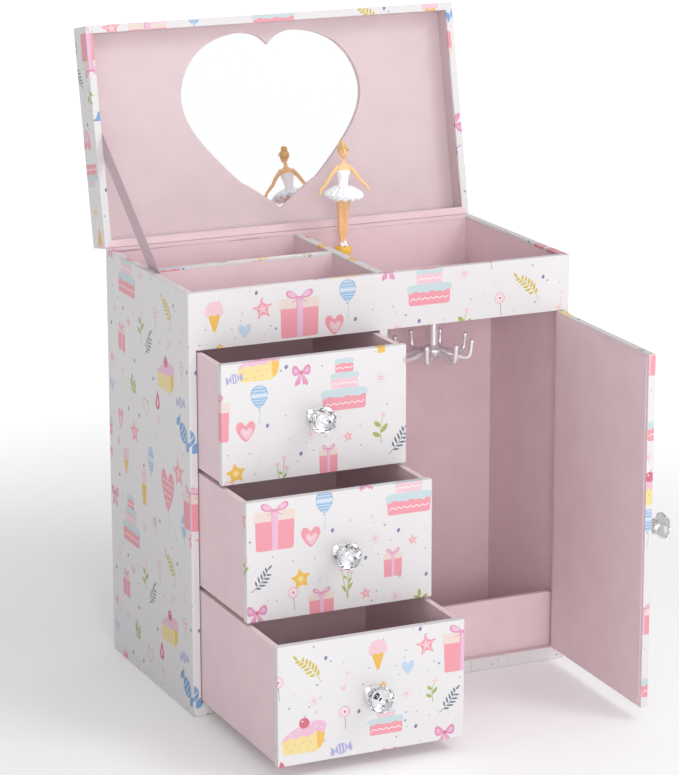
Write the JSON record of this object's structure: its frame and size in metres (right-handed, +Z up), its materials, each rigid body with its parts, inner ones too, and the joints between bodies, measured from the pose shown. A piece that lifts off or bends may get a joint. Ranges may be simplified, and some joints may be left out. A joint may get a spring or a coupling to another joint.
{
  "type": "musical jewellery box",
  "caption": "Child's wind-up musical jewellery box in printed paper board, with a mirrored lid, turning dancer, drawers and a necklace cupboard with carousel.",
  "frame": {"origin": "centre of the case's bottom face", "axes": "+Z up, the drawers and the door face -Y, the door's hinge is on +X, the lid's hinge is along +X at the top back edge"},
  "size_m": [0.2595, 0.316, 0.3924],
  "materials": {
    "printed_board": "greyboard covered in matt white paper with small printed party motifs",
    "lined_board": "greyboard covered in pale pink suede-finish paper",
    "hinge_paper": "matt printed paper on cloth backing",
    "ribbon": "dusty pink woven ribbon",
    "mirror_glass": "silvered, clear",
    "crystal": "clear cut acrylic glass, polished",
    "silver_fitting": "polished nickel",
    "screw_steel": "zinc plated",
    "magnet": "nickel plated",
    "silver_plastic": "metallised silver plastic",
    "doll_skin": "painted, semi-gloss, with blonde hair and white bodice",
    "doll_dress": "white, ruffled",
    "doll_base": "yellow, semi-gloss",
    "spring_steel": "bright spring wire and strip",
    "cast_zinc": "cast, dull",
    "brass": "turned, satin",
    "comb_steel": "ground",
    "key_steel": "nickel plated, polished",
    "fan_plastic": "moulded"
  },
  "bodies": {
    "case": {"back_panel": "printed_board", "bedplate": "cast_zinc", "bottom_panel": "printed_board", "bottom_rail": "printed_board", "carousel_flange": "silver_plastic", "centre_divider": "printed_board", "comb": "comb_steel", "divider_magnet": "magnet", "door_hinge_cloth": "hinge_paper", "drawer_shelves": "lined_board", "false_back": "lined_board", "governor_bracket": "key_steel", "left_side": "printed_board", "lid_hinge_cloth": "hinge_paper", "mainspring": "spring_steel", "movement_screws": "screw_steel", "pocket_front": "lined_board", "ribbon_stay": "ribbon", "right_side": "printed_board", "spring_housing": "key_steel", "top_rail": "printed_board", "tray_cross_divider": "printed_board", "tray_floor": "lined_board", "tray_long_divider": "printed_board"},
    "lid": {"lid_top": "printed_board", "lid_walls": "printed_board", "lid_liner": "lined_board", "mirror": "mirror_glass", "mirror_backing": "lined_board"},
    "door": {"door_panel": "printed_board", "door_magnet": "magnet", "door_knob_ferrule": "silver_fitting", "door_knob_crystal": "crystal", "door_knob_screw": "screw_steel"},
    "carousel": {"carousel_post": "silver_plastic", "carousel_hooks": "silver_plastic"},
    "ballerina_stem": {"ballerina_spring": "spring_steel"},
    "ballerina": {"ballerina_base": "doll_base", "ballerina_figure": "doll_skin", "ballerina_tutu": "doll_dress"},
    "great_wheel": {"great_wheel": "brass"},
    "music_cylinder": {"music_cylinder": "brass"},
    "governor_wheel": {"governor_wheel": "brass"},
    "governor_fan": {"governor_fan": "fan_plastic"},
    "winding_key": {"winding_key": "key_steel"},
    "drawer_1": {"drawer_1_front": "printed_board", "drawer_1_box": "lined_board", "drawer_1_knob_ferrule": "silver_fitting", "drawer_1_knob_crystal": "crystal", "drawer_1_knob_screw": "screw_steel"},
    "drawer_2": {"drawer_2_front": "printed_board", "drawer_2_box": "lined_board", "drawer_2_knob_ferrule": "silver_fitting", "drawer_2_knob_crystal": "crystal", "drawer_2_knob_screw": "screw_steel"},
    "drawer_3": {"drawer_3_front": "printed_board", "drawer_3_box": "lined_board", "drawer_3_knob_ferrule": "silver_fitting", "drawer_3_knob_crystal": "crystal", "drawer_3_knob_screw": "screw_steel"}
  },
  "joints": [
    {"name": "lid_hinge", "type": "hinge", "parent": "case", "child": "lid", "pos_m": [0, 0.068, 0.2592], "axis": [1, 0, 0], "range_deg": [0, 101.5], "deforming": ["ribbon_stay", "lid_hinge_cloth"]},
    {"name": "door_hinge", "type": "hinge", "parent": "case", "child": "door", "pos_m": [0.1205, -0.068, 0.1165], "axis": [0, 0, 1], "range_deg": [-88.6, 80], "deforming": ["door_hinge_cloth"]},
    {"name": "drawer_1_slide", "type": "slide", "parent": "case", "child": "drawer_1", "axis": [0, -1, 0], "range_m": [-0.037, 0.081]},
    {"name": "drawer_2_slide", "type": "slide", "parent": "case", "child": "drawer_2", "axis": [0, -1, 0], "range_m": [-0.072, 0.046]},
    {"name": "drawer_3_slide", "type": "slide", "parent": "case", "child": "drawer_3", "axis": [0, -1, 0], "range_m": [-0.115, 0.003]},
    {"name": "carousel_spin", "type": "hinge", "parent": "case", "child": "carousel", "pos_m": [0.0565, -0.02, 0.2], "axis": [0, 0, 1], "continuous": true},
    {"name": "ballerina_fold", "type": "hinge", "parent": "case", "child": "ballerina_stem", "pos_m": [0.0255, 0.046, 0.243], "axis": [1, 0, 0], "range_deg": [0, 91.5], "deforming": ["ballerina_spring"]},
    {"name": "ballerina_spin", "type": "hinge", "parent": "ballerina_stem", "child": "ballerina", "pos_m": [0.0255, 0.046, 0.251], "axis": [0, 0, 1], "continuous": true},
    {"name": "great_wheel_spin", "type": "hinge", "parent": "case", "child": "great_wheel", "pos_m": [0.0255, 0.05, 0.159], "axis": [0, 1, 0], "continuous": true},
    {"name": "music_cylinder_spin", "type": "hinge", "parent": "case", "child": "music_cylinder", "pos_m": [0.0255, 0.046, 0.19], "axis": [0, 0, 1], "continuous": true},
    {"name": "governor_wheel_spin", "type": "hinge", "parent": "case", "child": "governor_wheel", "pos_m": [0.0135, 0.046, 0.2], "axis": [0, 0, 1], "continuous": true},
    {"name": "governor_fan_spin", "type": "hinge", "parent": "case", "child": "governor_fan", "pos_m": [0.0066, 0.046, 0.199], "axis": [0, 1, 0], "continuous": true},
    {"name": "winding_key_turn", "type": "hinge", "parent": "case", "child": "winding_key", "pos_m": [0.0255, 0.068, 0.159], "axis": [0, 1, 0], "continuous": true}
  ],
  "couplings": [
    {"joint": "ballerina_fold", "follows": "lid_hinge", "ratio": 0.9},
    {"joint": "music_cylinder_spin", "follows": "great_wheel_spin", "ratio": -4},
    {"joint": "ballerina_spin", "follows": "great_wheel_spin", "ratio": -4},
    {"joint": "governor_wheel_spin", "follows": "great_wheel_spin", "ratio": 16},
    {"joint": "governor_fan_spin", "follows": "great_wheel_spin", "ratio": 64}
  ]
}
